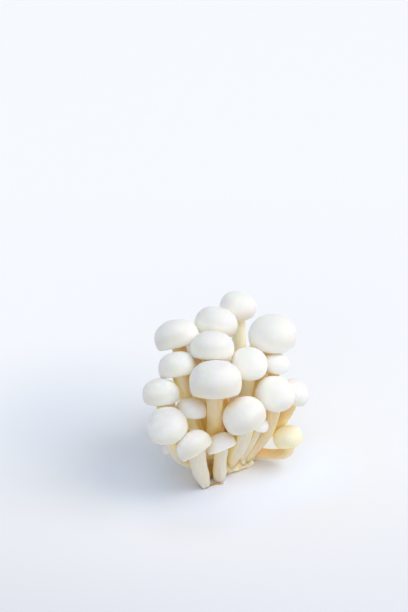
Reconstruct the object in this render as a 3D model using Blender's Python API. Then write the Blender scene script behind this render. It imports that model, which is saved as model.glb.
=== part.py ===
# A bunch of white shimeji mushrooms, grown joined on one cut base and standing
# upright on it. +Z is up, +X is to the right of the front view, +Y goes to the
# back. The origin is the middle of the flat cut under the base.
# Every mushroom is one closed body: stem, gilled underside and cap in one skin.

import math

import bmesh
import bpy
from mathutils import Vector

for old in list(bpy.data.objects):
    bpy.data.objects.remove(old, do_unlink=True)

MM = 0.001

# ---- driving dimensions, in mm and degrees ----
SEGMENTS = 14            # points round each stem and cap
STEM_RINGS = 5           # rings along a stem, with the foot
DOME_RINGS = 4           # rings from the widest line of a cap to its crown

BASE_RADIUS = 15.4       # mean radius of the cut base
BASE_HEIGHT = 5.0
BASE_SEGMENTS = 72
BASE_LOBES = (           # waves per turn, height, turn in degrees
    (1, 0.3, -40),
    (2, 0.5, -35),
    (5, 0.35, 10),
    (9, 0.40, 25),
    (13, 0.25, 70),
)
FRONT_BULGES = (         # towards the front left feet: direction, height, half width in degrees
    (-130, 6.2, 22),
    (-112, 4.7, 7),
)
BASE_SIDE = (            # step outwards, height in base heights: cut edge, side, worn shoulder
    (-2.8, 0.0),
    (-1.5, 0.2),
    (-0.3, 0.55),
    (0.0, 0.82),
    (-1.0, 1.0),
)
SEAM = 0.3               # gap between a stem foot and the base under it

RIM_DROP = 0.36          # the rim hangs this far under the widest line, in cap radii
UNDER = 0.14             # where the stem meets the gills, in cap radii under the widest line
DOME = 0.82              # crown height over the widest line, in cap radii
FOOT_TAPER = 0.62        # stem radius at a fused foot, over that at mid stem
CUT_TAPER = 0.92         # the same for a stem that was cut free at floor level
TOP_FLARE = 1.14         # the same just under the cap
PULL = (0.35, 0.35)      # how far a stem runs straight at foot and cap, in stem lengths
SHARP = math.radians(60)

# name: cap centre x, y, z | cap radius | cap lean right, back | foot x, y |
#       foot lean right, back | lean of the stem where it meets the cap | stem radius
ON_BASE = {
    "mushroom_crown": ((7, 37.5, 65), 9.0, (8, -2), (4.2, 10.1), (9, -4), (-5, -2), 3.4),
    "mushroom_top_left": ((-23, 12, 61), 10.9, (-14, 25), (-8, 5), (-6, 6), (-14, 25), 3.1),
    "mushroom_top_middle": ((-4, 21, 63.5), 10.6, (8, 17), (-4, 7), (-1, 4), (8, 17), 3.1),
    "mushroom_top_right": ((23.5, 13, 62), 11.6, (1, 0), (6.5, 5.5), (8, 3), (1, 0), 3.1),
    "mushroom_upper_left": ((-22.5, -4, 53.5), 9.2, (-12, 24), (-10.5, 1), (-9, 11), (-12, 24), 3.0),
    "mushroom_upper_middle": ((-6, 0, 62), 10.5, (1, 19), (-3, -1), (-2, 0), (1, 19), 3.2),
    "mushroom_upper_right": ((11.5, -3.5, 55), 9.1, (-1, -9), (3, -1), (7, -2), (-3, -9), 3.0),
    "mushroom_small_right": ((25, 3, 51.5), 6.3, (6, -1), (7.5, 0), (9, 1), (6, -1), 2.3),
    "mushroom_centre": ((-4.5, -18.5, 54), 12.2, (-1, 12), (-5, -6.5), (-4, -3), (-1, 12), 3.7),
    "mushroom_far_left": ((-30, -14.5, 45), 9.0, (-4, 15), (-11, -7), (-15, 3), (-4, 15), 2.8),
    "mushroom_small_inner": ((-15.9, -15.8, 37.2), 7.2, (5, 19), (-6.5, -11), (-8, -2), (5, 19), 2.2),
    "mushroom_front_right": ((8.9, -24.5, 38.8), 10.3, (-22, 4), (3, -11.5), (16, -11), (-6, -2), 3.3),
    "mushroom_right": ((24, -9.5, 42), 9.5, (9, -11), (11, -7), (44, -2), (-3, -8), 3.1),
    "mushroom_far_right": ((34, 2, 36), 7.5, (34, 3), (11.5, -0.5), (50, 6), (8, 3), 2.8),
    "mushroom_small_under": ((16, -15.5, 28.5), 5.0, (12, 16), (8.5, -10), (10, -5), (12, 16), 2.0),
    "mushroom_left_bottom": ((-25.5, -13, 13.8), 4.8, (-11, 27), (-15.3, -9.2), (-40, -2), (-11, 27), 2.0),
    "mushroom_left_lower": ((-27, -28.5, 36), 9.7, (-13, -12), (-12, -15.5), (-62, -26), (-10, -10), 2.8),
    "mushroom_back_left": ((-14.8, 29, 43.3), 8.0, (-19, 43), (-8.5, 10), (-5, 13), (-14, 43), 3.0),
    "mushroom_back_middle": ((-2, 27.5, 37), 6.3, (-4, 30), (-0.5, 12.2), (3, 16), (-4, 30), 3.1),
    "mushroom_back_right": ((20, 29, 44), 8.0, (23, 41), (10.8, 8.6), (13, 7), (18, 41), 2.7),
    "mushroom_back_low_left": ((-29, 25, 20.5), 6.3, (-35, 62), (-12.5, 5), (-30, 32), (-35, 62), 2.4),
    "mushroom_back_low_middle": ((-4.5, 42, 18), 7.7, (-8, 70), (-4.6, 13), (-6, 48), (-8, 70), 2.4),
    "mushroom_back_low_right": ((25.5, 27, 20.5), 7.1, (38, 58), (12.8, 3.8), (32, 30), (38, 58), 2.4),
}
ON_FLOOR = {
    "mushroom_short_left": ((-14.5, -32.5, 27.5), 8.6, (-36, 23), (-10.2, -24.5), (-10, -6), (-10, 5), 3.6),
    "mushroom_short_right": ((-2, -23, 22.5), 7.1, (-22, 29), (-2.5, -19.5), (0, -1), (0, 5), 3.1),
}
# Stems that leave the base steeply slanted and climb under their caps: how far they
# run straight at foot and cap, in stem lengths.
SLANTED_PULL = {
    "mushroom_far_right": (0.60, 0.30),
    "mushroom_left_lower": (0.46, 0.35),
}
# The curled mushroom leaves the side of the base level and turns up in a J.
CURLED_CAP, CURLED_RADIUS, CURLED_LEAN = (31, -7.5, 16.5), 7.4, (-14, 10)
CURLED_FOOT, CURLED_START, CURLED_STEM = (17.2, -2, 4.2), (1, -0.05, -0.14), 2.5
CURLED_TOP_LEAN, CURLED_PULL = (-10, 10), (0.66, 0.42)

UP = Vector((0, 0, 1))
RIGHT = Vector((1, 0, 0))
WHITE_FLESH = (0.84, 0.81, 0.72)
CREAM_FLESH = (0.84, 0.74, 0.50)
BASE_FLESH = (0.62, 0.49, 0.29)


def leaning(right, back):
    """The direction that leans so many degrees right and back from upright."""
    return Vector((math.tan(math.radians(right)), math.tan(math.radians(back)), 1)).normalized()


def across(axis, hint):
    """hint, squared up to axis."""
    return (hint - hint.dot(axis) * axis).normalized()


def curve(points, t):
    a, b, c, d = points
    return (1 - t) ** 3 * a + 3 * (1 - t) ** 2 * t * b + 3 * (1 - t) * t * t * c + t ** 3 * d


def heading(points, t):
    a, b, c, d = points
    return ((1 - t) ** 2 * (b - a) + 2 * (1 - t) * t * (c - b) + t * t * (d - c)).normalized()


def ease(t):
    t = min(max(t, 0.0), 1.0)
    return t * t * (3 - 2 * t)


def stem_radius(t, stem, taper):
    foot_part = taper + (1 - taper) * ease(t / 0.45)
    return stem * (foot_part + (TOP_FLARE - 1) * ease((t - 0.6) / 0.4))


def cap_profile(stem):
    """(radius, height) in cap radii: gilled underside, rolled rim, side, then the dome."""
    rows = [(stem, -UNDER), (max(0.5, stem + 0.08), -0.17), (0.84, -RIM_DROP),
            (0.955, -0.62 * RIM_DROP)]
    for i in range(DOME_RINGS):
        angle = math.radians(90 * i / DOME_RINGS)
        rows.append((math.cos(angle) ** 0.92, DOME * math.sin(angle)))
    return rows


def ring(centre, axis, x, radius):
    y = axis.cross(x)
    turn = [2 * math.pi * k / SEGMENTS for k in range(SEGMENTS)]
    return [centre + radius * (math.cos(a) * x + math.sin(a) * y) for a in turn]


def closed_skin(rings, top):
    """A body extruded from its foot outline through each ring in turn and closed at top."""
    skin = bmesh.new()
    row = [skin.verts.new(point * MM) for point in rings[0]]
    skin.faces.new(reversed(row))
    for points in rings[1:]:
        edges = [skin.edges.get((a, b)) for a, b in zip(row, row[1:] + row[:1])]
        made = bmesh.ops.extrude_edge_only(skin, edges=edges)["geom"]
        fresh = {item for item in made if isinstance(item, bmesh.types.BMVert)}
        row = [
            next(other for e in v.link_edges if (other := e.other_vert(v)) in fresh) for v in row
        ]
        for v, point in zip(row, points):
            v.co = point * MM
    lid = skin.faces.new(row)
    poked = bmesh.ops.poke(skin, faces=[lid])
    poked["verts"][0].co = top * MM
    bmesh.ops.recalc_face_normals(skin, faces=skin.faces)
    return skin


def add(name, skin, place, colour, roughness, parent):
    mesh = bpy.data.meshes.new(name)
    skin.to_mesh(mesh)
    skin.free()
    mesh.shade_smooth()
    mesh.set_sharp_from_angle(angle=SHARP)
    flesh = bpy.data.materials.new(name + "_flesh")
    flesh.use_nodes = True
    shader = flesh.node_tree.nodes["Principled BSDF"]
    shader.inputs["Base Color"].default_value = (*colour, 1)
    shader.inputs["Roughness"].default_value = roughness
    shader.inputs["Metallic"].default_value = 0
    mesh.materials.append(flesh)
    made = bpy.data.objects.new(name, mesh)
    made.location = place * MM
    made.parent = parent
    bpy.context.scene.collection.objects.link(made)
    return made


def mushroom(name, cap, radius, lean, foot, start, top, stem, taper, pull, facing, colour, parent):
    """One mushroom, drawn from its foot, where its object stands."""
    foot, axis = Vector(foot), leaning(*lean)
    cap = Vector(cap) - foot
    end = cap - axis * UNDER * radius
    points = (
        Vector((0, 0, 0)),
        start * end.length * pull[0],
        end - top * end.length * pull[1],
        end,
    )
    side = across(axis, RIGHT)
    rings, x = [], side
    for i in reversed(range(STEM_RINGS)):
        t = i / STEM_RINGS
        normal = facing if i == 0 else heading(points, t)
        x = across(normal, x)
        rings.insert(0, ring(curve(points, t), normal, x, stem_radius(t, stem, taper)))
    for out, up in cap_profile(stem * TOP_FLARE / radius):
        rings.append(ring(cap + axis * up * radius, axis, side, out * radius))
    skin = closed_skin(rings, cap + axis * DOME * radius)
    return add(name, skin, foot, colour, 0.5, parent)


def base_outline(step, height):
    row = []
    for k in range(BASE_SEGMENTS):
        turn = 2 * math.pi * k / BASE_SEGMENTS
        lobes = (h * math.cos(n * turn + math.radians(phase)) for n, h, phase in BASE_LOBES)
        reach = BASE_RADIUS + step + sum(lobes)
        for toward, swell, width in FRONT_BULGES:
            away = (math.degrees(turn) - toward + 180) % 360 - 180
            reach += swell * math.exp(-((away / width) ** 2))
        row.append(Vector((reach * math.cos(turn), reach * math.sin(turn), height)))
    return row


bunch = bpy.data.objects.new("bunch", None)
bunch.empty_display_size = 0.02
bpy.context.scene.collection.objects.link(bunch)

rings = [base_outline(step, part * BASE_HEIGHT) for step, part in BASE_SIDE]
add("base", closed_skin(rings, UP * BASE_HEIGHT), Vector((0, 0, 0)), BASE_FLESH, 0.6, bunch)

for name, (cap, radius, lean, foot, foot_lean, top_lean, stem) in ON_BASE.items():
    mushroom(name, cap, radius, lean, (*foot, BASE_HEIGHT + SEAM), leaning(*foot_lean),
             leaning(*top_lean), stem, FOOT_TAPER, SLANTED_PULL.get(name, PULL), UP,
             WHITE_FLESH, bunch)
for name, (cap, radius, lean, foot, foot_lean, top_lean, stem) in ON_FLOOR.items():
    mushroom(name, cap, radius, lean, (*foot, 0), leaning(*foot_lean), leaning(*top_lean),
             stem, CUT_TAPER, PULL, UP, WHITE_FLESH, bunch)
mushroom("mushroom_curled_right", CURLED_CAP, CURLED_RADIUS, CURLED_LEAN, CURLED_FOOT,
         Vector(CURLED_START).normalized(), leaning(*CURLED_TOP_LEAN), CURLED_STEM, CUT_TAPER,
         CURLED_PULL, RIGHT, CREAM_FLESH, bunch)
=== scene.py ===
# A bunch of white shimeji mushrooms on a plain pale floor in soft studio light.
# Lengths in the tables are mm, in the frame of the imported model: +Z up, +X to the
# right of the front view, +Y to the back, origin in the middle of the cut base.

import math

import bpy
import numpy as np
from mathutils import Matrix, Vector
from mathutils.bvhtree import BVHTree


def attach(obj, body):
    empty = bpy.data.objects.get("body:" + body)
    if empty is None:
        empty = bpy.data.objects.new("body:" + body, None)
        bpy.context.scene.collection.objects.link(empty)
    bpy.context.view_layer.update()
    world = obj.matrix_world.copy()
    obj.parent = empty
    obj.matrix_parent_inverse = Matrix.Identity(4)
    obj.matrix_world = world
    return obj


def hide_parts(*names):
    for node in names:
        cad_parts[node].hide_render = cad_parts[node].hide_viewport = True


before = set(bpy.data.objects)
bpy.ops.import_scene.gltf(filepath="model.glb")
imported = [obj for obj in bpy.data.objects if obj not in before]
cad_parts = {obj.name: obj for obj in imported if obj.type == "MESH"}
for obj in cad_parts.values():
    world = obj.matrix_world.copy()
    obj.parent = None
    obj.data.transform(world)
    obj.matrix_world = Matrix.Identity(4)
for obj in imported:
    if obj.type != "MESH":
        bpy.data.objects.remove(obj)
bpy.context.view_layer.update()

MM = 0.001
TAU = 2 * math.pi

# ---------------------------------------------------------------- design table
# name: cap centre x, y, z | cap radius | cap lean right, back | foot x, y |
#       foot lean right, back | lean of the stem where it meets the cap | stem radius
ON_BASE = {
    "crown": ((7, 37.5, 65), 9.0, (8, -2), (4.2, 10.1), (9, -4), (-5, -2), 3.4),
    "top_left": ((-23, 12, 61), 10.9, (-14, 25), (-8, 5), (-6, 6), (-14, 25), 3.1),
    "top_middle": ((-4, 21, 63.5), 10.6, (8, 17), (-4, 7), (-1, 4), (8, 17), 3.1),
    "top_right": ((23.5, 13, 62), 11.6, (1, 0), (6.5, 5.5), (8, 3), (1, 0), 3.1),
    "upper_left": ((-22.5, -4, 53.5), 9.2, (-12, 24), (-10.5, 1), (-9, 11), (-12, 24), 3.0),
    "upper_middle": ((-6, 0, 62), 10.5, (1, 19), (-3, -1), (-2, 0), (1, 19), 3.8),
    "upper_right": ((11.5, -3.5, 55), 9.1, (-1, -9), (3, -1), (7, -2), (-3, -9), 3.0),
    "small_right": ((25, 3, 51.5), 6.3, (6, -1), (7.5, 0), (9, 1), (6, -1), 2.3),
    "centre": ((-4.5, -18.5, 54), 12.2, (-1, 12), (-5, -6.5), (-4, -3), (-1, 12), 3.7),
    "far_left": ((-30, -14.5, 45), 9.0, (-4, 15), (-11, -7), (-15, 3), (-4, 15), 2.8),
    "small_inner": ((-15.9, -15.8, 37.2), 7.2, (5, 19), (-6.5, -11), (-8, -2), (5, 19), 2.2),
    "front_right": ((8.9, -24.5, 38.8), 10.3, (-22, 4), (3, -11.5), (16, -11), (-6, -2), 3.3),
    "right": ((24, -9.5, 42), 9.5, (9, -11), (11, -7), (44, -2), (-3, -8), 3.1),
    "far_right": ((34, 2, 36), 7.5, (34, 3), (11.5, -0.5), (50, 6), (8, 3), 2.8),
    "small_under": ((16, -15.5, 28.5), 5.0, (12, 16), (8.5, -10), (10, -5), (12, 16), 2.0),
    "left_bottom": ((-25.5, -13, 13.8), 4.8, (-11, 27), (-15.3, -9.2), (-40, -2), (-11, 27), 2.0),
    "left_lower": ((-27, -28.5, 36), 9.7, (-13, -12), (-12, -15.5), (-62, -26), (-10, -10), 2.8),
    "back_left": ((-14.8, 29, 43.3), 8.0, (-19, 43), (-8.5, 10), (-5, 13), (-14, 43), 3.0),
    "back_middle": ((-2, 27.5, 37), 6.3, (-4, 30), (-0.5, 12.2), (3, 16), (-4, 30), 3.1),
    "back_right": ((20, 29, 44), 8.0, (23, 41), (10.8, 8.6), (13, 7), (18, 41), 2.7),
    "back_low_left": ((-29, 25, 20.5), 6.3, (-35, 62), (-12.5, 5), (-30, 32), (-35, 62), 2.4),
    "back_low_middle": ((-4.5, 42, 18), 7.7, (-8, 70), (-4.6, 13), (-6, 48), (-8, 70), 2.4),
    "back_low_right": ((25.5, 27, 20.5), 7.1, (38, 58), (12.8, 3.8), (32, 30), (38, 58), 2.4),
}
ON_FLOOR = {
    "short_left": ((-14.5, -32.5, 27.5), 8.6, (-36, 23), (-10.2, -24.5), (-10, -6), (-10, 5), 3.6),
    "short_right": ((-2, -23, 22.5), 7.1, (-22, 29), (-2.5, -19.5), (0, -1), (0, 5), 3.1),
}
PULL = (0.35, 0.35)
SLANTED_PULL = {"far_right": (0.60, 0.30), "left_lower": (0.46, 0.35)}
CURLED_CAP, CURLED_RADIUS, CURLED_LEAN = (31, -7.5, 16.5), 7.4, (-14, 10)
CURLED_FOOT, CURLED_START, CURLED_STEM = (17.2, -2, 4.2), (1, -0.05, -0.14), 2.5
CURLED_TOP_LEAN, CURLED_PULL = (-10, 10), (0.66, 0.42)

# What sets single mushrooms apart. blunt: fullness of the shoulders (lower is fuller),
# full: how boxy the rim is, tall: dome height over the usual, belly: how much the stem
# swells low down, tilt: how far the rim hangs (amount, turn in degrees), ripe: how
# golden the stem is, pale: how much whiter it is, bright: how much of the painted glow
# (painted light) the cap takes, raw: how brown a cut foot is.
LOOKS = {
    "centre": {"blunt": 0.70, "full": 1.0, "tall": 0.97, "ripe": 0.6},
    "upper_middle": {"blunt": 0.80, "full": 0.7, "tall": 0.93},
    "top_left": {"blunt": 0.84, "full": 0.5, "bright": 0.0},
    "top_middle": {"blunt": 0.84, "full": 0.4},
    "crown": {"bright": 0.3, "blunt": 0.78, "full": 0.6, "tall": 0.95, "tilt": (0.05, 180), "belly": 0.28, "ripe": 0.2, "pale": 0.9},
    "top_right": {"blunt": 0.84, "full": 0.5, "bright": 0.42},
    "upper_left": {"blunt": 0.82, "full": 0.6, "ripe": 0.5, "pale": 0.5},
    "upper_right": {"ripe": 0.6, "pale": 0.6, "bright": 0.5},
    "small_right": {"bright": 0.6},
    "far_left": {"blunt": 0.84, "full": 0.5, "ripe": 0.5},
    "left_lower": {"blunt": 0.84, "full": 0.5, "ripe": 0.15},
    "left_bottom": {"blunt": 0.84, "full": 0.5, "ripe": 0.15},
    "small_inner": {"blunt": 0.76, "full": 0.9, "tall": 0.96, "ripe": 0.3, "bright": 1.0},
    "front_right": {"blunt": 0.80, "full": 0.7, "belly": 0.30, "ripe": 0.1},
    "right": {"blunt": 0.86, "full": 0.5, "ripe": 0.7, "bright": 0.3},
    "far_right": {"blunt": 0.86, "full": 0.5, "ripe": 1.0},
    "short_left": {"blunt": 0.84, "full": 0.5, "slant": (-10.2, 1.15, 9.0), "ripe": 0.0},
    "short_right": {"blunt": 0.78, "full": 0.8, "tall": 0.92, "belly": 0.19, "raw": 0.35, "ripe": 0.0, "bright": 1.0},
    "small_under": {"blunt": 0.78, "full": 0.9, "tall": 0.9, "ripe": 0.2, "bright": 0.8},
    "curled_right": {"blunt": 0.80, "full": 0.6, "tall": 0.90, "ripe": 0.5},
    "back_left": {"tilt": (0.28, -30)},
    "back_middle": {"belly": 0.17},
}

UNDER, RIM_DROP, DOME = 0.14, 0.36, 0.82
FOOT_TAPER, CUT_TAPER, TOP_FLARE = 0.82, 0.92, 1.14

BASE_RADIUS, BASE_HEIGHT, SEAM = 15.4, 5.0, 0.3
BASE_LOBES = ((1, 0.3, -40), (2, 0.5, -35), (5, 0.35, 10), (9, 0.40, 25), (13, 0.25, 70))
FRONT_BULGES = ((-130, 6.2, 22), (-112, 4.7, 7))

# ---------------------------------------------------------------- fineness
STEM_AROUND, GILLS, CAP_AROUND = 64, 54, 120
STEM_RINGS, GILL_RINGS, RIM_RINGS, DOME_RINGS = 40, 10, 9, 26
BASE_AROUND = 360


# ---------------------------------------------------------------- small maths
def unit(v):
    return v / np.linalg.norm(v)


def leaning(right, back):
    return unit(np.array([math.tan(math.radians(right)), math.tan(math.radians(back)), 1.0]))


def across(axis, hint):
    return unit(hint - hint.dot(axis) * axis)


def ease(t):
    t = np.clip(t, 0, 1)
    return t * t * (3 - 2 * t)


def smooth_curve(points, t):
    """Catmull-Rom through the points; t runs from 0 to 1."""
    p = np.asarray(points, float)
    p = np.vstack([2 * p[0] - p[1], p, 2 * p[-1] - p[-2]])
    u = np.clip(np.asarray(t, float), 0, 1) * (len(p) - 3)
    i = np.minimum(u.astype(int), len(p) - 4)
    f = (u - i)[:, None]
    a, b, c, d = p[i], p[i + 1], p[i + 2], p[i + 3]
    return 0.5 * (2 * b + (c - a) * f + (2 * a - 5 * b + 4 * c - d) * f**2
                  + (3 * b - a - 3 * c + d) * f**3)


class Ripple:
    """A smooth random field in space: a few crossing waves of one wavelength."""

    def __init__(self, rng, wavelength, count=7):
        k = rng.normal(size=(count, 3))
        k /= np.linalg.norm(k, axis=1)[:, None]
        self.k = k * TAU / wavelength * rng.uniform(0.7, 1.35, (count, 1))
        self.phase = rng.uniform(0, TAU, count)
        self.gain = math.sqrt(2.0 / count)

    def __call__(self, points):
        return self.gain * np.sin(points @ self.k.T + self.phase).sum(-1)


# ---------------------------------------------------------------- one mushroom
class Mushroom:
    """The skin as a function of where along it (0-1 stem, 1-2 gills, 2-3 rim,
    3-4 dome) and how far round it."""

    def __init__(self, name, cap, radius, lean, foot, start, top, stem, taper, pull, facing, seed,
                 sink=0.0):
        self.name, self.R, self.stem, self.taper, self.sink = name, radius, stem, taper, sink
        rng = self.rng = np.random.default_rng(seed)
        self.cap, self.foot = np.array(cap, float), np.array(foot, float)
        self.axis = leaning(*lean)
        self.joint = stem * TOP_FLARE * 1.10
        end = self.cap - self.axis * UNDER * radius
        reach = np.linalg.norm(end - self.foot)
        bez = (self.foot, self.foot + start * reach * pull[0], end - top * reach * pull[1], end)
        t = np.linspace(0, 1, 161)
        a, b, c, d = (p[None] for p in bez)
        s = t[:, None]
        mid = (1 - s) ** 3 * a + 3 * (1 - s) ** 2 * s * b + 3 * (1 - s) * s * s * c + s**3 * d
        aim = (1 - s) ** 2 * (b - a) + 2 * (1 - s) * s * (c - b) + s * s * (d - c)
        aim /= np.linalg.norm(aim, axis=1)[:, None]
        self.facing = facing
        self.side = across(self.axis, np.array([1.0, 0, 0]))
        self.back = np.cross(self.axis, self.side)
        self.t, self.length = t, np.linalg.norm(np.diff(mid, axis=0), axis=1).sum()
        # the rings turn from square to the stem to flat on the ground over the first few mm
        level = ease(1 - t * self.length / 4.0)[:, None]
        square = ease(1 - (1 - t) * self.length / 3.5)[:, None]
        aim = aim * (1 - level) + facing * level
        aim = aim * (1 - square) + self.axis * square
        aim /= np.linalg.norm(aim, axis=1)[:, None]
        xs = [None] * len(t)
        x = self.side
        for i in reversed(range(len(t))):
            x = across(aim[i], x)
            xs[i] = x
        self.mid, self.aim, self.x = mid, aim, np.array(xs)
        self.y = np.cross(self.aim, self.x)
        # what makes this one unlike its neighbours
        g = rng.uniform
        self.round = [(n, g(*amp), g(0, TAU)) for n, amp in
                      ((1, (0.0, 0.010)), (2, (0.006, 0.022)), (3, (0.004, 0.012)), (4, (0.002, 0.006)))]
        self.rim_wave = [(n, g(*amp), g(0, TAU)) for n, amp in
                         ((1, (0.0, 0.012)), (2, (0.004, 0.016)), (3, (0.003, 0.011)), (5, (0.002, 0.007)))]
        self.stem_wave = [(n, g(*amp), g(0, TAU), g(-1.2, 1.2)) for n, amp in
                          ((2, (0.02, 0.05)), (3, (0.012, 0.03)), (5, (0.006, 0.016)), (8, (0.005, 0.012)),
                           (13, (0.003, 0.008)))]
        self.swell = [(g(0.8, 1.6), g(0.01, 0.03), g(0, TAU)), (g(2.2, 3.4), g(0.005, 0.014), g(0, TAU))]
        self.wander = [(g(0.10, 0.30), g(0.9, 1.7), g(0, TAU)) for _ in range(2)]
        self.crown_shift = rng.normal(size=2) * 0.018
        look = LOOKS.get(name.replace("_mushroom", ""), {})
        self.bluntness = look.get("blunt", g(0.80, 0.92))
        self.full = look.get("full", g(0.3, 0.7))
        self.height = DOME * look.get("tall", 1.0) * g(0.985, 1.015)
        self.belly, self.slant = look.get("belly", g(0.0, 0.08)), look.get("slant")
        self.skirt, self.tilt = look.get("skirt"), look.get("tilt", (0.0, 0))
        self.raw = look.get("raw", 1.0)
        self.tones = {"ripe": look.get("ripe", 0.9), "pale": look.get("pale", 0.0),
                      "bright": look.get("bright", 0.1)}
        self.lump, self.dimple = Ripple(rng, 9.0), Ripple(rng, 3.4)
        self.grain = rng.uniform(-400, 400, 3)
        self.gill_phase = g(0, TAU)
        self.gill_jitter = rng.uniform(0.55, 1.0, GILLS)

    # -- stem
    def stem_skin(self, t, turn):
        t = np.asarray(t, float)
        put = lambda table: np.stack([np.interp(t, self.t, table[:, i]) for i in range(3)], -1)
        mid, x, y = put(self.mid), put(self.x), put(self.y)
        r = self.stem * (self.taper + (1 - self.taper) * ease(t / 0.45)
                         + (TOP_FLARE - 1) * ease((t - 0.6) / 0.4))
        for n, amp, phase in self.swell:
            r = r * (1 + amp * np.sin(n * TAU * t + phase) * np.sin(math.pi * t))
        r = r * (1 + self.belly * np.exp(-(((t - 0.26) / 0.20) ** 2)))
        up = (1 - t) * self.length
        r = r + (self.joint - self.stem * TOP_FLARE) * np.exp(-((up / 1.1) ** 2))
        low = t * self.length
        if self.sink:
            r = r + 0.55 * np.exp(-low / 1.6)
        else:
            r = r * (1 - 0.13 * np.exp(-((low / 0.7) ** 2)))
        hold = np.sin(math.pi * np.clip(t, 0, 1)) ** 0.8
        for (amp, n, phase), lane in zip(self.wander, (x, y)):
            mid = mid + lane * (amp * hold * np.sin(n * TAU * t + phase))[:, None]
        rough = np.zeros((len(t), len(turn)))
        fade = (ease(up / 2.0) * (0.35 + 0.65 * ease(low / 5.0)))[:, None]
        for n, amp, phase, twist in self.stem_wave:
            rough += amp * np.cos(n * turn[None] + phase + twist * 3 * t[:, None])
        radius = r[:, None] * (1 + rough * fade)
        ring = (x[:, None] * np.cos(turn)[None, :, None] + y[:, None] * np.sin(turn)[None, :, None])
        if self.skirt:                       # torn flesh spread on the ground on one side
            reach, toward = self.skirt
            away = (np.degrees(turn) - toward + 180) % 360 - 180
            torn = reach * np.exp(-((away / 50) ** 2)) * (1 + 0.35 * np.sin(turn * 9))
            radius = radius + torn[None] * np.exp(-((low / 0.45) ** 2))[:, None]
        p = mid[:, None] + ring * radius[..., None]
        if self.slant:                       # the cut rises to the left from a point
            tip, slope, reach = self.slant
            rise = slope * np.clip(tip - p[..., 0], 0, None)
            p[..., 2] += rise * np.clip(1 - p[..., 2] / reach, 0, 1) ** 1.5
        return p

    # -- cap
    def cap_skin(self, out, up, turn, weight, droop):
        """out, up: profile in cap radii, one row each; weight: how much of the uneven
        roundness shows there; droop: how much of the rim's wave."""
        wave = sum(amp * np.cos(n * turn + phase) for n, amp, phase in self.round)
        dip = sum(amp * np.cos(n * turn + phase) for n, amp, phase in self.rim_wave)
        dip = dip - self.tilt[0] * np.cos(turn - math.radians(self.tilt[1]))
        o = out * (1 + weight[:, None] * wave[None])
        u = up + droop[:, None] * dip[None]
        shift = self.crown_shift[None] * np.clip(u, 0, None)[..., None].mean(1)
        xx = o * np.cos(turn)[None] + shift[:, :1]
        yy = o * np.sin(turn)[None] + shift[:, 1:]
        return self.cap + self.R * (self.side * xx[..., None] + self.back * yy[..., None]
                                    + self.axis * u[..., None])

    def under_height(self, out):
        inner = self.joint / self.R
        f = np.clip((out - inner) / (0.84 - inner), 0, 1.2)
        return -UNDER - (RIM_DROP - UNDER) * f**2.1

    def gill_skin(self, f, turn, cut):
        inner = self.joint / self.R
        out = inner + (0.80 - inner) * f
        out2 = np.repeat(out[:, None], len(turn), 1)
        up = np.repeat(self.under_height(out)[:, None], len(turn), 1)
        if cut:
            up = up + self.gill_depth(f, turn)
        return self.cap_skin(out2, up, turn, 0.6 * f, f**3)

    def gill_depth(self, f, turn):
        """How far the troughs between the gills go up into the cap, in cap radii."""
        k = np.arange(len(turn))
        which, place = k // 4, k % 4
        shape = np.array([0.0, 0.82, 1.0, 0.82])[place]
        deep = np.where(place == 0, 0, 1.0) * shape * (0.75 + 0.25 * self.gill_jitter[which % GILLS])
        # every third gill is a short one that starts half way out
        short = (which % 3 == 1) & (place == 0)
        inner_fill = 1 - ease((f - 0.38) / 0.2)
        env = (ease(f / 0.10) * (1 - ease((f - 0.80) / 0.20)))[:, None]
        depth = deep[None] * np.ones((len(f), 1))
        depth[:, short] = inner_fill[:, None] * 0.9
        edge = 0.05 * np.sin(which * 2.4 + self.gill_phase)[None] * (place == 0)[None]
        return env * (0.105 * depth + 0.1 * edge * 0.5)

    def rim_profile(self, f):
        start = self.under_height(np.array([0.80]))[0]
        soft = np.array([(0.80, start), (0.838, -0.357), (0.874, -0.366), (0.918, -0.325),
                         (0.957, -0.232), (0.986, -0.115), (1.0, 0.0)])
        boxy = np.array([(0.80, start), (0.842, -0.376), (0.892, -0.402), (0.943, -0.375),
                         (0.980, -0.285), (0.998, -0.155), (1.003, 0.0)])
        return smooth_curve(soft + (boxy - soft) * self.full, f)

    def rim_skin(self, f, turn):
        p = self.rim_profile(f)
        out = np.repeat(p[:, :1], len(turn), 1)
        up = np.repeat(p[:, 1:], len(turn), 1)
        return self.cap_skin(out, up, turn, 0.6 + 0.4 * f, 1 - 0.45 * f)

    def dome_skin(self, f, turn):
        a = f * math.pi / 2
        out = np.repeat((np.cos(a) ** self.bluntness)[:, None], len(turn), 1)
        up = np.repeat((self.height * np.sin(a))[:, None], len(turn), 1)
        return self.cap_skin(out, up, turn, np.cos(a) ** 1.5, 0.55 * (1 - ease(f / 0.7)))

    def skin(self, part, f, turn, cut=True):
        f = np.asarray(f, float)
        if part == 0:
            p = self.stem_skin(f, turn)
        elif part == 1:
            p = self.gill_skin(f, turn, cut)
        elif part == 2:
            p = self.rim_skin(f, turn)
        else:
            p = self.dome_skin(f, turn)
        if part >= 2:
            away = p - self.cap
            away /= np.linalg.norm(away, axis=-1)[..., None]
            size = 0.055 * self.lump(p) + 0.014 * self.dimple(p)
            hold = ease(f / 0.5) if part == 2 else np.ones(len(f))
            p = p + away * (size * hold[:, None])[..., None]
        return p


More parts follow.
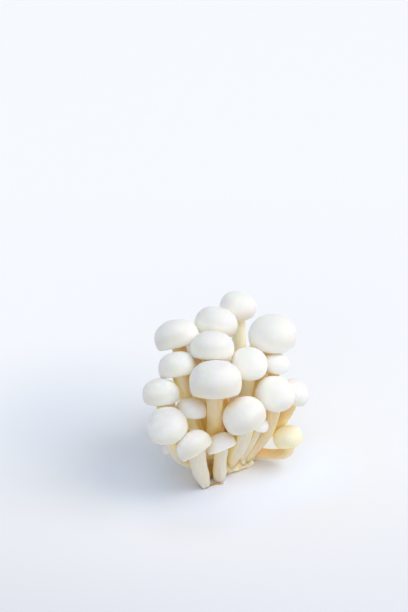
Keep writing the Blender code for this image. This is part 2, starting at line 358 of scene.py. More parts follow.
# ---------------------------------------------------------------- mesh building
class Skin:
    """Rings of points stitched into one closed surface, with values at each point."""

    def __init__(self):
        self.points, self.values, self.faces, self.last, self.count = [], [], [], None, 0

    def ring(self, pts, values):
        n, start = len(pts), self.count
        self.points.append(pts)
        self.values.append(values)
        self.count += n
        if self.last is not None:
            self.stitch(self.last, (start, n))
        self.last = (start, n)

    def stitch(self, a, b):
        (sa, na), (sb, nb) = a, b
        if na == nb:
            k = np.arange(na)
            k2 = (k + 1) % na
            self.faces += np.stack([sa + k, sa + k2, sb + k2, sb + k], -1).tolist()
            return
        i = j = 0
        while i < na or j < nb:
            if j >= nb or (i < na and (i + 1) / na <= (j + 1) / nb):
                self.faces.append([sa + i % na, sa + (i + 1) % na, sb + j % nb])
                i += 1
            else:
                self.faces.append([sa + i % na, sb + (j + 1) % nb, sb + j % nb])
                j += 1

    def close(self, tip, values, first=False):
        self.points.append(np.array(tip)[None])
        self.values.append({k: np.atleast_2d(v) if np.ndim(v) else np.array([v]) for k, v in values.items()})
        c = self.count
        self.count += 1
        if first:
            start, n = 0, len(self.points[0])
            self.faces += [[c, start + (k + 1) % n, start + k] for k in range(n)]
        else:
            start, n = self.last
            self.faces += [[start + k, start + (k + 1) % n, c] for k in range(n)]

    def piece(self, name, origin, material, slot, node):
        pts = (np.vstack(self.points) - origin) * MM
        mesh = bpy.data.meshes.new(name)
        mesh.from_pydata(pts.tolist(), [], self.faces)
        mesh.update()
        for key in self.values[0]:
            data = np.concatenate([np.asarray(v[key], float) for v in self.values])
            if data.ndim == 1:
                mesh.attributes.new(key, "FLOAT", "POINT").data.foreach_set("value", data.astype(np.float32))
            else:
                mesh.attributes.new(key, "FLOAT_VECTOR", "POINT").data.foreach_set(
                    "vector", data.astype(np.float32).ravel())
        mesh.shade_smooth()
        mesh.materials.append(material)
        made = bpy.data.objects.new(name, mesh)
        made.location = Vector(origin) * MM
        bpy.context.scene.collection.objects.link(made)
        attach(made, "root")
        if node:
            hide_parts(node)
        return made


# ---------------------------------------------------------------- shelter
# How shut in each bit of skin is by its neighbours, counted with rays. The materials use it
# to paint shade, and golden light bounced between the stems, into the sheltered flesh.
def cad_tree():
    verts, faces = [], []
    for node in sorted(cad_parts):
        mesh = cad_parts[node].data
        start = len(verts)
        verts += [v.co.copy() for v in mesh.vertices]
        faces += [[start + i for i in p.vertices] for p in mesh.polygons]
    return BVHTree.FromPolygons(verts, faces)


TREE = cad_tree()
RAYS, REACH = 48, 26 * MM


def ray_fan():
    k = np.arange(RAYS) + 0.5
    r, a = np.sqrt(k / RAYS), k * math.pi * (3 - math.sqrt(5))
    return np.stack([r * np.cos(a), r * np.sin(a), np.sqrt(1 - r * r)], -1)


FAN = ray_fan()


def shelter(points, normals):
    """points in mm (rings, round, 3) with outward normals: 0 in the open, 1 shut in."""
    out = np.zeros(points.shape[:2])
    for i in range(points.shape[0]):
        for j in range(points.shape[1]):
            n = normals[i, j]
            h = np.array([1.0, 0, 0]) if abs(n[0]) < 0.7 else np.array([0, 1.0, 0])
            x = np.cross(n, h)
            x /= np.linalg.norm(x)
            rays = FAN @ np.stack([x, np.cross(n, x), n])
            o = Vector(points[i, j] + n * 0.7) * MM
            total = 0.0
            for ray in rays:
                aim = Vector(ray)
                _, normal, _, hit = TREE.ray_cast(o, aim, REACH)
                if hit is not None and normal.dot(aim) < 0:
                    total += 1 - hit / REACH
            out[i, j] = total / RAYS
    return out


def normals_of(grid, inward_point):
    du = np.gradient(grid, axis=0)
    dv = np.roll(grid, -1, 1) - np.roll(grid, 1, 1)
    n = np.cross(dv, du)
    n /= np.maximum(np.linalg.norm(n, axis=-1), 1e-9)[..., None]
    return n


def spread(coarse_f, coarse, f, turn):
    """Reads a coarse (rings, round) table at rows f and angles turn."""
    rows = np.stack([np.interp(f, coarse_f, coarse[:, j]) for j in range(coarse.shape[1])], -1)
    n = coarse.shape[1]
    u = turn / TAU * n
    i = np.floor(u).astype(int)
    w = u - i
    return rows[:, i % n] * (1 - w) + rows[:, (i + 1) % n] * w


def build(m, material, slot, node):
    coarse_turn = np.arange(16) * TAU / 16
    tables = {}
    for part, f in ((0, np.linspace(0, 1, 13)), (1, np.linspace(0, 1, 3)), (2, np.linspace(0, 1, 4)),
                    (3, np.linspace(0, 0.94, 9))):
        grid = m.skin(part, f, coarse_turn, cut=False)
        tables[part] = (f, shelter(grid, normals_of(grid, None)))
    # the rim and the dome share one smoothed table, so that nothing jumps where they meet
    rim, dome = tables[2][1], tables[3][1]
    whole = np.vstack([rim[:-1], (rim[-1:] + dome[:1]) / 2, dome[1:]])
    for _ in range(2):
        whole[1:-1] = whole[:-2] / 4 + whole[1:-1] / 2 + whole[2:] / 4
        whole = (np.roll(whole, 1, 1) + 2 * whole + np.roll(whole, -1, 1)) / 4
    tables[2] = (tables[2][0], whole[:len(rim)])
    tables[3] = (tables[3][0], whole[len(rim) - 1:])
    skin = Skin()

    # painted shade: the stems' shelter is eased high up and, for stems on the base, raised near the foot, so the
    # painted crevice tone gathers low down
    painted_foot_shade = 0.40 if m.sink else 0.0

    def rows(part, f, around, **more):
        turn = np.arange(around) * TAU / around
        grid = m.skin(part, f, turn)
        shut = spread(*tables[part], f, turn)
        for i in range(len(f)):
            put = {k: np.full(around, v[i]) if np.ndim(v) == 1 else v[i] for k, v in more.items()}
            low = put["along"][0]
            height = ease((grid[i][:, 2] - 22) / 24)
            skin.ring(grid[i], {
                "shelter": shut[i] * (1 - 0.35 * height) + painted_foot_shade * math.exp(-low / 3.5) if part == 0
                else shut[i], **{k: np.full(around, v) for k, v in m.tones.items()},
                "cap": put["cap"], "dome": put["dome"], "trough": put["trough"], "cut": put["cut"],
                "rooted": np.full(around, math.exp(-low / 2.8) if part == 0 and m.sink else 0.0),
                "grain": grid[i] + m.grain,
                "fibre": np.stack([np.cos(turn) * 3 + m.grain[0], np.sin(turn) * 3 + m.grain[1],
                                   np.full(around, low * 0.09)], -1),
            })

    t = np.linspace(0, 1, STEM_RINGS + 1)
    t = t + 0.10 * np.sin(TAU * t) / TAU            # rings closer at both ends
    t = np.clip(t, 0, 1)
    low = t * m.length
    zero = np.zeros(len(t))
    if m.sink:                                     # the fused foot runs on into the base
        deep = m.foot - m.facing * m.sink
        first = m.stem_skin(np.array([0.0]), np.arange(STEM_AROUND) * TAU / STEM_AROUND)[0]
        shut0 = spread(*tables[0], np.array([0.0]), np.arange(STEM_AROUND) * TAU / STEM_AROUND)[0]
        turn = np.arange(STEM_AROUND) * TAU / STEM_AROUND
        ring = deep + (first - m.foot) * 1.12
        skin.ring(ring, {"shelter": shut0 + painted_foot_shade,
                         **{k: np.full(STEM_AROUND, v) for k, v in m.tones.items()},
                         "cap": np.zeros(STEM_AROUND),
                         "dome": np.zeros(STEM_AROUND),
                         "trough": np.zeros(STEM_AROUND), "cut": np.zeros(STEM_AROUND),
                         "rooted": np.ones(STEM_AROUND),
                         "grain": ring + m.grain,
                         "fibre": np.stack([np.cos(turn) * 3 + m.grain[0], np.sin(turn) * 3 + m.grain[1],
                                            np.zeros(STEM_AROUND)], -1)})
    cut = zero if m.sink else m.raw * np.exp(-((low / 0.9) ** 2))
    rows(0, t[:-1], STEM_AROUND, cap=zero[:-1], dome=zero[:-1], trough=zero[:-1], cut=cut[:-1],
         along=low[:-1])
    f = np.linspace(0, 1, GILL_RINGS + 1)
    turn = np.arange(GILLS * 4) * TAU / (GILLS * 4)
    depth = m.gill_depth(f, turn) / 0.105
    rows(1, f[:-1], GILLS * 4, cap=0.15 + 0.35 * f[:-1], dome=np.zeros(GILL_RINGS), trough=depth[:-1],
         cut=np.zeros(GILL_RINGS), along=m.length + f[:-1] * m.R)
    f = np.linspace(0, 1, RIM_RINGS + 1)
    rows(2, f[:-1], CAP_AROUND, cap=0.5 + 0.5 * ease(f[:-1] / 0.6), dome=0.3 * f[:-1],
         trough=np.zeros(RIM_RINGS),
         cut=np.zeros(RIM_RINGS), along=m.length + m.R * (1 + f[:-1] * 0.5))
    f = np.linspace(0, 1, DOME_RINGS + 1)[:-1]
    rows(3, f, CAP_AROUND, cap=np.ones(len(f)), dome=0.3 + 0.7 * np.clip(f / 0.45, 0, 1),
         trough=np.zeros(len(f)), cut=np.zeros(len(f)),
         along=m.length + m.R * (1.5 + f * 1.5))
    top = m.skin(3, np.array([0.9999]), np.array([0.0, math.pi]))[0].mean(0)
    last = skin.values[-1]
    skin.close(top, {k: (v.mean(0)) for k, v in last.items()})
    first = skin.values[0]
    mid = skin.points[0].mean(0)
    skin.close(mid, {k: (v.mean(0)) for k, v in first.items()}, first=True)
    return skin.piece(m.name, m.foot, material, slot, node)


# ---------------------------------------------------------------- materials
def nodes_for(name):
    mat = bpy.data.materials.new(name)
    mat.use_nodes = True
    tree = mat.node_tree
    shader = tree.nodes["Principled BSDF"]
    return mat, tree, shader


class Net:
    """Short hands for joining shader nodes."""

    def __init__(self, tree):
        self.t = tree

    def node(self, kind, **settings):
        n = self.t.nodes.new(kind)
        for k, v in settings.items():
            setattr(n, k, v)
        return n

    def link(self, a, b):
        self.t.links.new(a, b)

    def feed(self, socket, value):
        if isinstance(value, bpy.types.NodeSocket):
            self.link(value, socket)
        elif value is not None:
            socket.default_value = value

    def attr(self, name, out="Fac"):
        return self.node("ShaderNodeAttribute", attribute_name=name).outputs[out]

    def maths(self, op, a, b=None, c=None, clamp=False):
        n = self.node("ShaderNodeMath", operation=op, use_clamp=clamp)
        for s, v in zip(n.inputs, (a, b, c)):
            self.feed(s, v)
        return n.outputs[0]

    def span(self, value, lo, hi, to_lo=0.0, to_hi=1.0, smooth=True):
        n = self.node("ShaderNodeMapRange", interpolation_type="SMOOTHSTEP" if smooth else "LINEAR")
        for key, v in (("Value", value), ("From Min", lo), ("From Max", hi), ("To Min", to_lo),
                       ("To Max", to_hi)):
            self.feed(n.inputs[key], v)
        return n.outputs["Result"]

    def mix(self, how, fac, a, b):
        n = self.node("ShaderNodeMix", data_type="RGBA", blend_type=how)
        self.feed(n.inputs[0], fac)
        self.feed(n.inputs[6], (*a, 1) if isinstance(a, tuple) else a)
        self.feed(n.inputs[7], (*b, 1) if isinstance(b, tuple) else b)
        return n.outputs[2]

    def noise(self, vector, scale, detail=3.0, rough=0.5, distort=0.0):
        n = self.node("ShaderNodeTexNoise")
        self.feed(n.inputs["Vector"], vector)
        for key, v in (("Scale", scale), ("Detail", detail), ("Roughness", rough), ("Distortion", distort)):
            n.inputs[key].default_value = v
        return n.outputs["Fac"]

    def bump(self, height, distance, strength=1.0, normal=None):
        n = self.node("ShaderNodeBump")
        n.inputs["Distance"].default_value = distance
        n.inputs["Strength"].default_value = strength
        self.feed(n.inputs["Height"], height)
        if normal is not None:
            self.link(normal, n.inputs["Normal"])
        return n.outputs["Normal"]


def flesh(name, cap_a, cap_b, rim, glow, stem_a, stem_b, ripe, painted_honey_shade, deep, gill, cut_tone, strength=1.0):
    mat, tree, shader = nodes_for(name)
    g = Net(tree)
    grain, fibre = g.attr("grain", "Vector"), g.attr("fibre", "Vector")
    shut, cap = g.attr("shelter"), g.attr("cap")
    # caps: faint cloudy mottling; stems: streaks along the fibres
    cloud = g.noise(grain, 0.22, 4, 0.55)
    spots = g.noise(grain, 0.9, 3, 0.6)
    cap_tone = g.mix("MIX", g.span(g.maths("ADD", g.maths("MULTIPLY", cloud, 0.7),
                                           g.maths("MULTIPLY", spots, 0.3)), 0.36, 0.66), cap_a, cap_b)
    streak = g.noise(fibre, 1.6, 4, 0.6)
    fine = g.noise(fibre, 5.0, 2, 0.5)
    lines = g.maths("ADD", g.maths("MULTIPLY", streak, 0.6), g.maths("MULTIPLY", fine, 0.4))
    stem_tone = g.mix("MIX", g.span(lines, 0.36, 0.64), stem_a, stem_b)
    stem_tone = g.mix("MIX", g.maths("MULTIPLY", g.attr("ripe"), g.span(lines, 0.30, 0.60, 0.55, 0.95)), stem_tone, ripe)
    stem_tone = g.mix("MIX", g.attr("pale"), stem_tone, (1.0, 0.96, 0.80))
    # painted shade: the cap darker and greyer low down towards the rim, for the shading of its lower side; only a
    # little of it is the rim's own creamier tone
    cap_tone = g.mix("MIX", g.span(g.attr("dome"), 0.0, 0.85, 0.85, 0.0), cap_tone, rim)
    # painted light: where caps stand close and face each other they take the glow colour, standing in for light
    # passing through the flesh
    near = g.maths("MULTIPLY", g.span(shut, 0.03, 0.36), g.span(g.attr("dome"), 0.0, 0.45))
    cap_tone = g.mix("MIX", near, cap_tone, glow)
    # painted light: caps with a bright share take the glow colour, most where shut in, lifting caps that sit in shade
    cap_tone = g.mix("MIX", g.maths("MULTIPLY", g.attr("bright"), g.span(shut, 0.0, 0.2, 0.5, 1.0)), cap_tone, glow)
    tone = g.mix("MIX", g.span(cap, 0.35, 0.95), stem_tone, cap_tone)
    # gills: cream; the troughs between them take painted shade
    under = g.maths("MULTIPLY", g.span(cap, 0.10, 0.16), g.maths("SUBTRACT", 1.0, g.span(cap, 0.45, 0.60)))
    tone = g.mix("MIX", g.maths("MULTIPLY", under, 0.7), tone, gill)
    tone = g.mix("MIX", g.maths("MULTIPLY", g.attr("trough"), 0.6), tone, painted_honey_shade)
    # painted shade: golden, then deeper golden, then brown where the bunch is shut in, standing in for shade and for
    # light bounced between the stems
    wander = g.maths("MULTIPLY_ADD", g.maths("SUBTRACT", cloud, 0.5), 0.16, shut)
    bare = g.maths("SUBTRACT", 1.0, g.maths("MULTIPLY", g.span(cap, 0.55, 0.95), 0.90))
    first = g.maths("MULTIPLY", g.span(wander, 0.12, 0.52), 0.9 * strength)
    tone = g.mix("MIX", g.maths("MULTIPLY", first, bare), tone, painted_honey_shade)
    second = g.maths("MULTIPLY", g.span(wander, 0.48, 0.80), 0.8 * strength)
    tone = g.mix("MIX", g.maths("MULTIPLY", second, bare), tone, deep)
    third = g.maths("MULTIPLY", g.span(wander, 0.82, 1.15), 0.8 * strength)
    tone = g.mix("MIX", g.maths("MULTIPLY", third, bare), tone, (0.58, 0.31, 0.05))
    # a little ruddier where the foot runs into the base: painted to make up for red light that scatters away into the
    # base
    tone = g.mix("MULTIPLY", g.attr("rooted"), tone, (1.0, 0.88, 0.88))
    # cut ends
    scuffed = g.maths("MULTIPLY", g.attr("cut"), g.span(spots, 0.35, 0.6, 0.35, 1.0))
    tone = g.mix("MIX", scuffed, tone, cut_tone)
    g.link(tone, shader.inputs["Base Color"])
    rough = g.maths("ADD", g.maths("MULTIPLY", cap, -0.08), g.maths("MULTIPLY_ADD", spots, 0.10, 0.52))
    g.link(rough, shader.inputs["Roughness"])
    # fine relief: skin of the caps, fibres of the stems
    pores = g.noise(grain, 3.2, 4, 0.65)
    skin_relief = g.maths("MULTIPLY", pores, cap)
    stem_relief = g.maths("MULTIPLY", lines, g.maths("SUBTRACT", 1.0, cap))
    skin_bump = g.bump(skin_relief, 0.00006, 0.6)
    g.link(g.bump(stem_relief, 0.00030, 0.8, skin_bump), shader.inputs["Normal"])
    shader.inputs["Subsurface Weight"].default_value = 0.9
    shader.inputs["Subsurface Radius"].default_value = (1.0, 0.70, 0.30)
    shader.inputs["Subsurface Scale"].default_value = 0.0045
    shader.inputs["IOR"].default_value = 1.4
    shader.inputs["Specular IOR Level"].default_value = 0.45
    return mat


# in both fleshes rim is a painted shade, glow a painted light and the two golden crevice colours a painted shade; the
# rest are the flesh's own colours
WHITE = flesh(
    "white_flesh",
    cap_a=(0.853, 0.855, 0.858), cap_b=(0.830, 0.828, 0.812), rim=(0.70, 0.680, 0.605),
    glow=(0.985, 0.970, 0.930), stem_a=(0.77, 0.735, 0.64), stem_b=(0.735, 0.675, 0.54), ripe=(0.83, 0.65, 0.345),
    painted_honey_shade=(0.99, 0.85, 0.49), deep=(0.98, 0.71, 0.20), gill=(0.95, 0.87, 0.66), cut_tone=(0.34, 0.20, 0.07),
)
CREAM = flesh(
    "cream_flesh",
    cap_a=(0.93, 0.90, 0.80), cap_b=(0.91, 0.84, 0.66), rim=(0.86, 0.76, 0.52), glow=(0.95, 0.90, 0.72),
    stem_a=(0.88, 0.75, 0.54), stem_b=(0.82, 0.65, 0.40), ripe=(0.90, 0.72, 0.42),
    painted_honey_shade=(0.92, 0.74, 0.40), deep=(0.86, 0.62, 0.24), gill=(0.88, 0.76, 0.46), cut_tone=(0.50, 0.33, 0.13),
    strength=0.8,
)


def base_material():
    mat, tree, shader = nodes_for("base_flesh")
    g = Net(tree)
    grain = g.attr("grain", "Vector")
    shut, pale, yellow, cut = g.attr("shelter"), g.attr("pale"), g.attr("yellow"), g.attr("cut")
    cloud, spots = g.noise(grain, 0.35, 5, 0.6), g.noise(grain, 1.6, 4, 0.65)
    tone = g.mix("MIX", g.span(cloud, 0.35, 0.65), (0.95, 0.76, 0.43), (0.88, 0.64, 0.32))
    tone = g.mix("MIX", g.maths("MULTIPLY", g.span(spots, 0.56, 0.72), 0.5), tone, (0.62, 0.42, 0.16))
    tone = g.mix("MIX", g.maths("MULTIPLY", pale, 0.8), tone, (0.90, 0.84, 0.67))
    # painted shade: the base darker and browner where the stems shut it in
    tone = g.mix("MIX", g.maths("MULTIPLY", g.span(shut, 0.24, 0.58), 0.95), tone, (0.62, 0.36, 0.07))
    # brown of the cut faces; the same mask also carries painted shade in the crack, in the crevice between the front
    # feet and along the bottom edge
    tone = g.mix("MIX", g.maths("MULTIPLY", cut, 0.75), tone, (0.36, 0.22, 0.08))
    tone = g.mix("MIX", yellow, tone, (1.0, 0.96, 0.68))
    g.link(tone, shader.inputs["Base Color"])
    g.link(g.maths("MULTIPLY_ADD", spots, 0.2, 0.5), shader.inputs["Roughness"])
    g.link(g.bump(g.maths("ADD", cloud, g.maths("MULTIPLY", spots, 0.6)), 0.0005, 0.8), shader.inputs["Normal"])
    shader.inputs["Subsurface Weight"].default_value = 0.25
    shader.inputs["Subsurface Radius"].default_value = (1.0, 0.6, 0.25)
    shader.inputs["Subsurface Scale"].default_value = 0.002
    shader.inputs["Specular IOR Level"].default_value = 0.35
    return mat


# ---------------------------------------------------------------- the bunch
UP = np.array([0.0, 0, 1])
bunch = []
seed = 11
for name, (cap, radius, lean, foot, foot_lean, top_lean, stem) in ON_BASE.items():
    bunch.append((Mushroom(name + "_mushroom", cap, radius, lean, (*foot, BASE_HEIGHT + SEAM),
                           leaning(*foot_lean), leaning(*top_lean), stem, FOOT_TAPER,
                           SLANTED_PULL.get(name, PULL), UP, seed, sink=2.0), WHITE,
                  "white_flesh", "mushroom_" + name))
    seed += 1
for name, (cap, radius, lean, foot, foot_lean, top_lean, stem) in ON_FLOOR.items():
    bunch.append((Mushroom(name + "_mushroom", cap, radius, lean, (*foot, 0.0), leaning(*foot_lean),
                           leaning(*top_lean), stem, CUT_TAPER, PULL, UP, seed), WHITE,
                  "white_flesh", "mushroom_" + name))
    seed += 1
bunch.append((Mushroom("curled_right_mushroom", CURLED_CAP, CURLED_RADIUS, CURLED_LEAN, CURLED_FOOT,
                       unit(np.array(CURLED_START, float)), leaning(*CURLED_TOP_LEAN), CURLED_STEM,
                       CUT_TAPER, CURLED_PULL, np.array([1.0, 0, 0]), seed, sink=3.0), CREAM,
              "cream_flesh", "mushroom_curled_right"))
for m, material, slot, node in bunch:
    build(m, material, slot, node)


# ---------------------------------------------------------------- the base
def outline(turn):
    r = BASE_RADIUS + sum(h * np.cos(n * turn + math.radians(ph)) for n, h, ph in BASE_LOBES)
    for toward, swell, width in FRONT_BULGES:
        away = (np.degrees(turn) - toward + 180) % 360 - 180
        r = r + swell * np.exp(-((away / width) ** 2))
    return r


# small knobs: degrees round the base, height, how far they stand out, width, yellowness
BUMPS = ((-69, 2.5, 2.5, 1.30, 1.0), (-36, 3.4, 2.5, 1.30, 1.0), (-52, 2.0, 0.9, 1.1, 0.3),
         (-41, 1.2, 1.2, 1.0, 0.6), (-60, 1.2, 0.9, 1.0, 0.2), (-84, 0.8, 2.2, 1.2, -0.8),
         (-22, 3.0, 0.8, 0.8, 0.5), (101, 3.0, 0.9, 0.9, 0.8), (167, 3.2, 1.0, 0.9, 0.8),
         (48, 3.1, 0.9, 0.9, 0.6), (205, 2.6, 0.8, 0.8, 0.6), (128, 1.6, 0.8, 1.0, 0.3))
CRACK = (-47, 9, 4.5, 1.5)      # degrees round the base: middle, half length; height, depth
# a shred torn from the cut feet, lying on the ground: x, y and its thickness
SHRED = ((-7.9, -25.4, 0.24), (-6.7, -24.6, 0.36), (-5.4, -23.7, 0.52), (-4.2, -23.2, 0.42),
         (-2.6, -23.1, 0.36), (-0.5, -23.1, 0.26))


def base_piece():
    rng = np.random.default_rng(5)
    lump, knob, pit = Ripple(rng, 6.5), Ripple(rng, 2.6), Ripple(rng, 1.1, 9)
    turn = np.arange(BASE_AROUND) * TAU / BASE_AROUND
    edge = outline(turn)
    feet = [(np.array(m.foot[:2]), m.stem * m.taper) for m, *_ in bunch if m.sink and m.facing[2] > 0.5]
    rings = []
    for f in np.linspace(0.08, 1, 10):                       # the flat cut underneath
        rings.append((edge - 1.4) * f * (1 + 0 * turn))
    skin = Skin()

    def put(radius, z, kind):
        x, y = radius * np.cos(turn), radius * np.sin(turn)
        p = np.stack([x, y, z], -1)
        n = np.stack([np.cos(turn), np.sin(turn), np.zeros(len(turn))], -1)
        pale = np.zeros(len(turn))
        yellow = np.zeros(len(turn))
        cut = np.zeros(len(turn))
        if kind == "cut":
            cut = np.ones(len(turn))
            p[:, 2] = 0
        if kind in ("side", "top"):
            h = p[:, 2] / BASE_HEIGHT
            for at, r in feet:                               # each stem runs into the base
                d = np.linalg.norm(p[:, :2] - at, axis=1)
                near = np.exp(-np.clip(d - r, 0, None) / 0.9)
                pale = np.maximum(pale, near * np.clip(h, 0, 1))
                if kind == "top":
                    p[:, 2] += 1.9 * np.exp(-((np.clip(d - r, 0, None) / 1.1) ** 2))
                else:
                    a = (turn - math.atan2(at[1], at[0]) + math.pi) % TAU - math.pi
                    rim = np.linalg.norm(at)
                    gap = np.clip(edge - rim - r, 0, 9)
                    col = np.exp(-((a * rim / (r * 1.15)) ** 2)) * np.exp(-gap / 2.5)
                    p += n * (0.75 * col * h**0.8)[:, None]
                    pale = np.maximum(pale, 0.9 * col * np.clip(0.35 + h, 0, 1))
            amount = np.clip(h * 1.6, 0, 1)[:, None] if kind == "side" else 1
            away = n if kind == "side" else np.array([[0, 0, 1.0]])
            p = p + away * (0.32 * lump(p) + 0.20 * knob(p) + 0.06 * pit(p))[:, None] * amount
            z0, out = p[:, 2].copy(), np.clip(edge - 1.5 - radius, 0, 9) if kind == "top" else 0 * turn
            for toward, level, height, width, gold in BUMPS:
                away = edge * ((turn - math.radians(toward) + math.pi) % TAU - math.pi)
                d = np.sqrt(away**2 + (z0 - level) ** 2 + out**2)
                swell = np.exp(-((d / width) ** 2))
                p = p + (n * 0.85 + UP * 0.35) * (height * swell)[:, None]
                spot = np.exp(-((d / (width * 1.05)) ** 4))
                yellow = np.maximum(yellow, max(gold, 0) * spot)
                cut = np.maximum(cut, max(-gold, 0) * spot)     # below zero: brown, not yellow
            middle, half, level, depth = CRACK       # the split along the top edge
            away = (np.degrees(turn) - middle + 180) % 360 - 180
            pale = pale * (1 - 0.8 * np.exp(-((away / 24) ** 4)))
            split = np.exp(-((away / half) ** 6)) * np.exp(-(((z0 - level) / 0.45) ** 2) - (out / 0.9) ** 2)
            p = p - (n * 0.9 + UP * 0.4) * (depth * split)[:, None]
            # the side browner just above the ground: partly the cut's own brown, partly painted contact shadow
            cut = np.maximum(cut, 0.4 * np.exp(-((p[:, 2] / 0.5) ** 2)) * (kind == "side"))
            # painted shade: the crevice between the two cut feet in front is painted dark brown
            crevice_shade = np.linalg.norm((p[:, :2] - np.array([-6.4, -17.5])) / (2.3, 6.0), axis=1)
            cut = np.maximum(cut, 0.95 * np.exp(-(crevice_shade**4)))
            # painted shade inside the crack
            cut = np.maximum(cut, np.clip(1.5 * split, 0, 1))
            p[:, 2] = np.maximum(p[:, 2], 0)
        return p, pale, yellow, cut

    rows = [put(r, np.zeros(len(turn)), "cut") for r in rings]
    for f in np.linspace(0.06, 1, 20):
        step, h = smooth_curve([(-1.5, 0), (-0.7, 0.16), (-0.15, 0.46), (0.0, 0.74), (-0.5, 0.93),
                                (-1.5, 1.0)], np.array([f]))[0]
        rows.append(put(edge + step, np.full(len(turn), h * BASE_HEIGHT), "side"))
    for f in np.linspace(0.98, 0.03, 38):
        rows.append(put((edge - 1.5) * f, np.full(len(turn), BASE_HEIGHT), "top"))
    grid = np.stack([r[0] for r in rows])
    pick = list(range(0, len(rows), 3))
    coarse = grid[pick][:, ::10]
    shut = shelter(coarse, normals_of(coarse, None))
    f_all = np.arange(len(rows), dtype=float)
    shut = spread(f_all[pick], shut, f_all, turn)
    for i, (p, pale, yellow, cut) in enumerate(rows):
        skin.ring(p, {"shelter": shut[i], "pale": pale, "yellow": yellow, "cut": cut, "grain": p})
    last, first = skin.values[-1], skin.values[0]
    skin.close(skin.points[-1].mean(0), {k: v.mean(0) for k, v in last.items()})
    skin.close(skin.points[0].mean(0), {k: v.mean(0) for k, v in first.items()}, first=True)
    return skin.piece("cut_base", np.zeros(3), BASE, "base_flesh", "base")


def shred_piece():
    turn = np.arange(14) * TAU / 14
    rough = Ripple(np.random.default_rng(9), 1.6)
    path = smooth_curve([(x, y, 0.8 * r) for x, y, r in SHRED], np.linspace(0, 1, 30))
    thick = smooth_curve([(r, 0, 0) for *_, r in SHRED], np.linspace(0, 1, 30))[:, 0]
    aim = np.gradient(path, axis=0)
    skin = Skin()
    zero = np.zeros(len(turn))
    for at, r, way, raw in zip(path, thick, aim, np.linspace(1, 0, 30)):
        side = unit(np.cross(UP, way))
        up = unit(np.cross(way, side))
        p = at + r * (side * np.cos(turn)[:, None] * 1.15 + up * np.sin(turn)[:, None] * 0.8)
        p = at + (p - at) * (1 + 0.22 * rough(p))[:, None]
        p[:, 2] = np.maximum(p[:, 2], 0.02)
        # the shred's shelter is a fixed value, not counted: it gives the shred the base's painted-shade brown as its
        # colour
        skin.ring(p, {"shelter": zero + 0.53, "pale": zero, "yellow": zero, "cut": zero + 0.9 * ease(raw * 1.6 - 0.4),
                      "grain": p})
    last, first = skin.values[-1], skin.values[0]
    skin.close(skin.points[-1].mean(0), {k: v.mean(0) for k, v in last.items()})
    skin.close(skin.points[0].mean(0), {k: v.mean(0) for k, v in first.items()}, first=True)
    return skin.piece("torn_shred", np.zeros(3), BASE, "base_flesh", None)


BASE = base_material()
base_piece()
shred_piece()


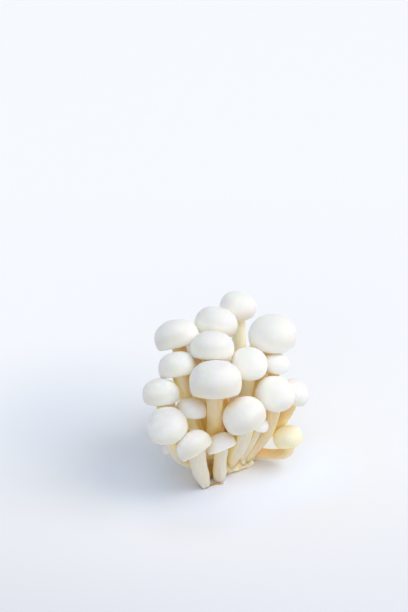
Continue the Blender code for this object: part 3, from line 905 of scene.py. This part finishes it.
# ---------------------------------------------------------------- floor
def floor():
    mesh = bpy.data.meshes.new("floor")
    n, half = 24, 4.0
    line = np.linspace(-half, half, n + 1)
    verts = [(x, y, -0.00005) for y in line for x in line]
    faces = [(j * (n + 1) + i, j * (n + 1) + i + 1, (j + 1) * (n + 1) + i + 1, (j + 1) * (n + 1) + i)
             for j in range(n) for i in range(n)]
    mesh.from_pydata(verts, [], faces)
    made = bpy.data.objects.new("floor", mesh)
    bpy.context.scene.collection.objects.link(made)
    mat, tree, shader = nodes_for("floor_paper")
    g = Net(tree)
    place = g.node("ShaderNodeTexCoord").outputs["Object"]
    soft = g.noise(place, 1.3, 2, 0.5)
    tone = g.mix("MIX", soft, (0.922, 0.925, 0.955), (0.932, 0.935, 0.965))
    split = g.node("ShaderNodeSeparateXYZ")
    g.link(place, split.inputs[0])
    x, y = split.outputs[0], split.outputs[1]
    # painted light falloff: the floor darker towards the front and the front-left corner, a little lighter far back
    far = g.maths("MULTIPLY", g.span(y, -0.12, 0.0, 0.91, 1.0, smooth=False),
                  g.span(y, 0.0, 0.35, 1.0, 1.030, smooth=False))
    corner = g.maths("MULTIPLY_ADD", x, -0.6, g.maths("MULTIPLY", y, -0.8))
    shade = g.maths("MULTIPLY", far, g.span(corner, 0.05, 0.17, 1.0, 0.93))
    tone = g.mix("MULTIPLY", 1.0, tone, shade)
    # painted shadow: the floor duller and bluer to the left of the bunch, a little darker in front of
    # it on the left, and bluer under, in front of and to the right of it
    for centre, near, gone, tint in (((-0.075, 0.035, 0), 0.01, 0.10, (0.86, 0.89, 0.94)),
                                     ((-0.018, -0.045, 0), 0.005, 0.035, (0.93, 0.93, 0.94)),
                                     ((-0.029, -0.015, 0), 0.005, 0.050, (1.05, 1.11, 1.20)),
                                     ((0.008, -0.035, 0), 0.006, 0.040, (0.98, 1.00, 1.07)),
                                     ((0.030, -0.006, 0), 0.008, 0.045, (0.99, 1.05, 1.15)),
                                     ((0, -0.330, 0), 0.12, 0.32, (0.985, 0.980, 1.035))):
        reach = g.node("ShaderNodeVectorMath", operation="DISTANCE")
        g.link(place, reach.inputs[0])
        reach.inputs[1].default_value = centre
        tone = g.mix("MULTIPLY", g.span(reach.outputs["Value"], near, gone, 1.0, 0.0), tone, tint)
    g.link(tone, shader.inputs["Base Color"])
    shader.inputs["Roughness"].default_value = 0.75
    shader.inputs["Specular IOR Level"].default_value = 0.15
    mesh.materials.append(mat)


floor()

# ---------------------------------------------------------------- light
scene = bpy.context.scene
world = bpy.data.worlds.new("studio")
scene.world = world
world.use_nodes = True
world.node_tree.nodes["Background"].inputs["Color"].default_value = (0.825, 0.905, 1.0, 1)
world.node_tree.nodes["Background"].inputs["Strength"].default_value = 0.57

def wide_light(name, strength, colour, spread_angle, heading):
    """A large soft source far enough away that it doesn't fall off."""
    data = bpy.data.lights.new(name, "SUN")
    data.energy, data.color, data.angle = strength, colour, math.radians(spread_angle)
    made = bpy.data.objects.new(name, data)
    made.location = Vector(heading) * -1
    made.rotation_mode = "QUATERNION"
    made.rotation_quaternion = Vector(heading).to_track_quat("-Z", "Y")
    scene.collection.objects.link(made)


wide_light("key", 1.42, (1.0, 0.95, 0.87), 50, (-1.0, -0.10, -0.95))
wide_light("top", 0.55, (1.0, 0.985, 0.95), 60, (-0.10, 0.25, -1.0))
wide_light("front", 0.61, (1.0, 0.975, 0.93), 60, (0.10, 1.0, -0.10))

scene.view_settings.view_transform = "Standard"
scene.view_settings.look = "None"
scene.cycles.diffuse_bounces = 14
scene.cycles.max_bounces = 18

# ---------------------------------------------------------------- camera
eye = bpy.data.cameras.new("eye")
eye.lens, eye.sensor_width, eye.sensor_fit = 85.0, 36.0, "AUTO"
eye.clip_start, eye.clip_end = 0.02, 30.0
camera = bpy.data.objects.new("eye", eye)
camera.location = (-0.00986, -0.60465, 0.39120)
camera.rotation_euler = (math.radians(63.1), 0, 0)
scene.collection.objects.link(camera)
scene.camera = camera
